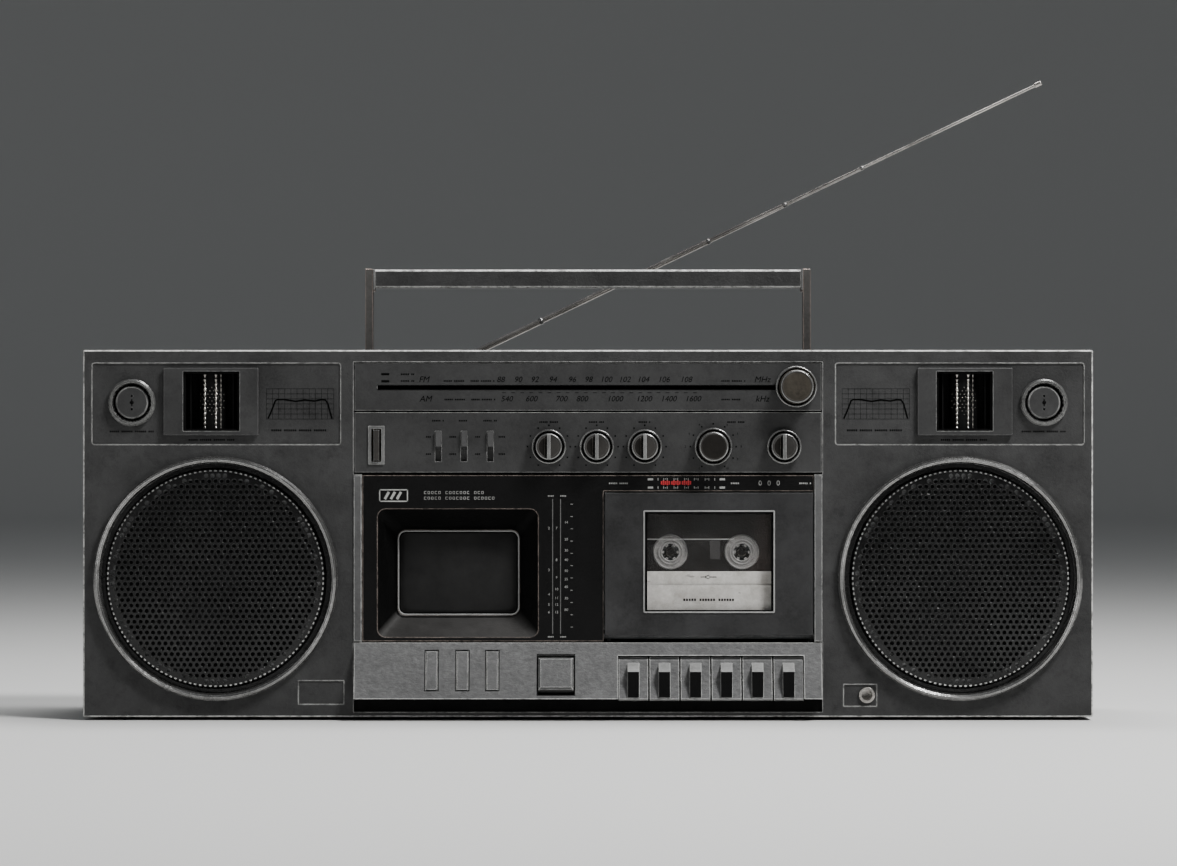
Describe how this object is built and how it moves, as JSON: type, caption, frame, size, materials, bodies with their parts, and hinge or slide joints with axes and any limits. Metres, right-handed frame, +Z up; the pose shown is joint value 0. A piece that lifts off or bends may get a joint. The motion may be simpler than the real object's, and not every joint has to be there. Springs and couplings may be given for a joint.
{
  "type": "boombox",
  "caption": "Portable stereo radio with a small television, a cassette recorder, speakers, a folding handle and a telescopic aerial.",
  "frame": {"origin": "on the surface under the feet, midway across the width and midway from the knobs' front to the back", "axes": "+X to the right as seen from the front, +Y to the back, +Z up"},
  "size_m": [0.6, 0.166, 0.3899],
  "materials": {
    "case_plastic": "satin",
    "panel_plastic": "satin",
    "button_plastic": "satin",
    "ring_metal": "satin",
    "grille_steel": "satin",
    "chassis_steel": "satin",
    "cone_paper": "matte",
    "tube_glass": "gloss",
    "window_plastic": "gloss",
    "cassette_plastic": "satin",
    "board_laminate": "matte",
    "pointer_plastic": "satin",
    "chrome": "polished",
    "foot_rubber": "matte"
  },
  "bodies": {
    "root": {"front_cabinet": "case_plastic", "rear_cabinet": "case_plastic", "rubber_feet": "foot_rubber", "case_screws": "chassis_steel", "speaker_rings": "ring_metal", "speaker_grilles": "grille_steel", "woofer_baskets": "chassis_steel", "woofer_cones": "cone_paper", "tweeter_bezels": "case_plastic", "tweeter_horns": "panel_plastic", "microphones": "ring_metal", "centre_frame": "chassis_steel", "dial_panel": "case_plastic", "control_panel": "panel_plastic", "tv_surround": "panel_plastic", "picture_tube": "tube_glass", "control_board": "board_laminate", "sill_panel": "case_plastic", "headphone_jack": "chrome", "ac_inlet": "panel_plastic", "mains_transformer": "chassis_steel", "battery_tray": "case_plastic", "deck_chassis": "chassis_steel"},
    "handle": {"handle_arms": "chrome", "handle_grip": "case_plastic"},
    "battery_door": {"battery_door": "case_plastic"},
    "cassette_door": {"cassette_door": "case_plastic", "door_window": "window_plastic", "cassette_shell": "cassette_plastic"},
    "supply_hub": {"supply_hub": "cassette_plastic"},
    "takeup_hub": {"takeup_hub": "cassette_plastic"},
    "supply_spindle": {"supply_spindle": "cassette_plastic"},
    "takeup_spindle": {"takeup_spindle": "cassette_plastic"},
    "tuning_knob": {"tuning_knob": "button_plastic"},
    "dial_pointer": {"dial_pointer": "pointer_plastic"},
    "power_button": {"power_button": "button_plastic"},
    "eject_button": {"eject_button": "button_plastic"},
    "aerial_foot": {"aerial_base": "chrome"},
    "balance_knob": {"balance_knob": "button_plastic"},
    "treble_knob": {"treble_knob": "button_plastic"},
    "bass_knob": {"bass_knob": "button_plastic"},
    "volume_knob": {"volume_knob": "button_plastic"},
    "tv_tuning_knob": {"tv_tuning_knob": "button_plastic"},
    "band_switch": {"band_switch": "button_plastic"},
    "stereo_switch": {"stereo_switch": "button_plastic"},
    "noise_switch": {"noise_switch": "button_plastic"},
    "channel_button_low": {"channel_button_low": "button_plastic"},
    "channel_button_mid": {"channel_button_mid": "button_plastic"},
    "channel_button_high": {"channel_button_high": "button_plastic"},
    "record_key": {"record_key": "button_plastic"},
    "play_key": {"play_key": "button_plastic"},
    "rewind_key": {"rewind_key": "button_plastic"},
    "forward_key": {"forward_key": "button_plastic"},
    "stop_key": {"stop_key": "button_plastic"},
    "pause_key": {"pause_key": "button_plastic"},
    "aerial_1": {"aerial_section_1": "chrome"},
    "aerial_2": {"aerial_section_2": "chrome"},
    "aerial_3": {"aerial_section_3": "chrome"},
    "aerial_4": {"aerial_section_4": "chrome"},
    "aerial_5": {"aerial_section_5": "chrome"}
  },
  "joints": [
    {"name": "handle_fold", "type": "hinge", "parent": "root", "child": "handle", "pos_m": [0, 0.006, 0.212], "axis": [-1, 0, 0], "range_deg": [0, 90]},
    {"name": "battery_door_open", "type": "hinge", "parent": "root", "child": "battery_door", "pos_m": [0.1355, 0.0816, 0.0107], "axis": [-1, 0, 0], "range_deg": [0, 90]},
    {"name": "cassette_door_open", "type": "hinge", "parent": "root", "child": "cassette_door", "pos_m": [0.0718, -0.0615, 0.0525], "axis": [1, 0, 0], "range_deg": [0, 35]},
    {"name": "takeup_spindle_turn", "type": "hinge", "parent": "root", "child": "takeup_spindle", "pos_m": [0.0916, -0.052, 0.0998], "axis": [0, 1, 0], "continuous": true},
    {"name": "supply_spindle_turn", "type": "hinge", "parent": "root", "child": "supply_spindle", "pos_m": [0.0491, -0.052, 0.0998], "axis": [0, 1, 0], "continuous": true},
    {"name": "takeup_hub_turn", "type": "hinge", "parent": "cassette_door", "child": "takeup_hub", "pos_m": [0.0916, -0.05625, 0.0998], "axis": [0, 1, 0], "continuous": true},
    {"name": "supply_hub_turn", "type": "hinge", "parent": "cassette_door", "child": "supply_hub", "pos_m": [0.0491, -0.05625, 0.0998], "axis": [0, 1, 0], "continuous": true},
    {"name": "tuning_knob_turn", "type": "hinge", "parent": "root", "child": "tuning_knob", "pos_m": [0.1236, -0.07, 0.1981], "axis": [0, 1, 0], "range_deg": [-1800, 0]},
    {"name": "dial_pointer_slide", "type": "slide", "parent": "root", "child": "dial_pointer", "axis": [1, 0, 0], "range_m": [-0.2357, 0]},
    {"name": "power_button_press", "type": "slide", "parent": "root", "child": "power_button", "axis": [0, 1, 0], "range_m": [0, 0.0014], "stiffness_N_per_m": 400, "springref_m": -0.002},
    {"name": "eject_button_press", "type": "slide", "parent": "root", "child": "eject_button", "axis": [0, 0.9395, -0.3427], "range_m": [0, 0.0024], "stiffness_N_per_m": 300, "springref_m": -0.003},
    {"name": "aerial_turn", "type": "hinge", "parent": "root", "child": "aerial_foot", "pos_m": [-0.145, 0.076, 0.185], "axis": [0, -1, 0], "range_deg": [-25.5, 154.5]},
    {"name": "aerial_tilt", "type": "hinge", "parent": "aerial_foot", "child": "aerial_1", "pos_m": [-0.145, 0.076, 0.185], "axis": [-0.4305, 0, 0.9026], "range_deg": [0, 90]},
    {"name": "balance_knob_turn", "type": "hinge", "parent": "root", "child": "balance_knob", "pos_m": [-0.0232, -0.07, 0.1626], "axis": [0, 1, 0], "range_deg": [-150, 150]},
    {"name": "treble_knob_turn", "type": "hinge", "parent": "root", "child": "treble_knob", "pos_m": [0.0052, -0.07, 0.1626], "axis": [0, 1, 0], "range_deg": [-150, 150]},
    {"name": "bass_knob_turn", "type": "hinge", "parent": "root", "child": "bass_knob", "pos_m": [0.0337, -0.07, 0.1626], "axis": [0, 1, 0], "range_deg": [-150, 150]},
    {"name": "volume_knob_turn", "type": "hinge", "parent": "root", "child": "volume_knob", "pos_m": [0.0744, -0.07, 0.1626], "axis": [0, 1, 0], "range_deg": [-150, 150]},
    {"name": "tv_tuning_knob_turn", "type": "hinge", "parent": "root", "child": "tv_tuning_knob", "pos_m": [0.1164, -0.07, 0.1626], "axis": [0, 1, 0], "range_deg": [-150, 150]},
    {"name": "band_switch_slide", "type": "slide", "parent": "root", "child": "band_switch", "axis": [0, 0, 1], "range_m": [-0.0084, 0]},
    {"name": "stereo_switch_slide", "type": "slide", "parent": "root", "child": "stereo_switch", "axis": [0, 0, 1], "range_m": [-0.0084, 0]},
    {"name": "noise_switch_slide", "type": "slide", "parent": "root", "child": "noise_switch", "axis": [0, 0, 1], "range_m": [-0.0084, 0]},
    {"name": "channel_button_low_press", "type": "slide", "parent": "root", "child": "channel_button_low", "axis": [0, 0.9395, -0.3427], "range_m": [0, 0.0022], "stiffness_N_per_m": 200, "springref_m": -0.002},
    {"name": "channel_button_mid_press", "type": "slide", "parent": "root", "child": "channel_button_mid", "axis": [0, 0.9395, -0.3427], "range_m": [0, 0.0022], "stiffness_N_per_m": 200, "springref_m": -0.002},
    {"name": "channel_button_high_press", "type": "slide", "parent": "root", "child": "channel_button_high", "axis": [0, 0.9395, -0.3427], "range_m": [0, 0.0022], "stiffness_N_per_m": 200, "springref_m": -0.002},
    {"name": "record_key_press", "type": "hinge", "parent": "root", "child": "record_key", "pos_m": [0.0729, -0.032, 0.024], "axis": [1, 0, 0], "range_deg": [0, 6], "stiffness_Nm_per_rad": 0.3, "springref_deg": -4.58},
    {"name": "play_key_press", "type": "hinge", "parent": "root", "child": "play_key", "pos_m": [0.0729, -0.032, 0.024], "axis": [1, 0, 0], "range_deg": [0, 6], "stiffness_Nm_per_rad": 0.3, "springref_deg": -4.58},
    {"name": "rewind_key_press", "type": "hinge", "parent": "root", "child": "rewind_key", "pos_m": [0.0729, -0.032, 0.024], "axis": [1, 0, 0], "range_deg": [0, 6], "stiffness_Nm_per_rad": 0.3, "springref_deg": -4.58},
    {"name": "forward_key_press", "type": "hinge", "parent": "root", "child": "forward_key", "pos_m": [0.0729, -0.032, 0.024], "axis": [1, 0, 0], "range_deg": [0, 6], "stiffness_Nm_per_rad": 0.3, "springref_deg": -4.58},
    {"name": "stop_key_press", "type": "hinge", "parent": "root", "child": "stop_key", "pos_m": [0.0729, -0.032, 0.024], "axis": [1, 0, 0], "range_deg": [0, 6], "stiffness_Nm_per_rad": 0.3, "springref_deg": -4.58},
    {"name": "pause_key_press", "type": "hinge", "parent": "root", "child": "pause_key", "pos_m": [0.0729, -0.032, 0.024], "axis": [1, 0, 0], "range_deg": [0, 6], "stiffness_Nm_per_rad": 0.3, "springref_deg": -4.58},
    {"name": "aerial_2_slide", "type": "slide", "parent": "aerial_1", "child": "aerial_2", "axis": [0.9026, 0, 0.4305], "range_m": [-0.112, 0]},
    {"name": "aerial_3_slide", "type": "slide", "parent": "aerial_2", "child": "aerial_3", "axis": [0.9026, 0, 0.4305], "range_m": [-0.0495, 0.062]},
    {"name": "aerial_4_slide", "type": "slide", "parent": "aerial_3", "child": "aerial_4", "axis": [0.9026, 0, 0.4305], "range_m": [-0.05, 0.0615]},
    {"name": "aerial_5_slide", "type": "slide", "parent": "aerial_4", "child": "aerial_5", "axis": [0.9026, 0, 0.4305], "range_m": [-0.1165, 0]}
  ],
  "couplings": [
    {"joint": "dial_pointer_slide", "follows": "tuning_knob_turn", "m_per_rad": 0.0075},
    {"joint": "supply_spindle_turn", "follows": "takeup_spindle_turn", "ratio": 1},
    {"joint": "takeup_hub_turn", "follows": "takeup_spindle_turn", "ratio": 1},
    {"joint": "supply_hub_turn", "follows": "takeup_spindle_turn", "ratio": 1}
  ]
}
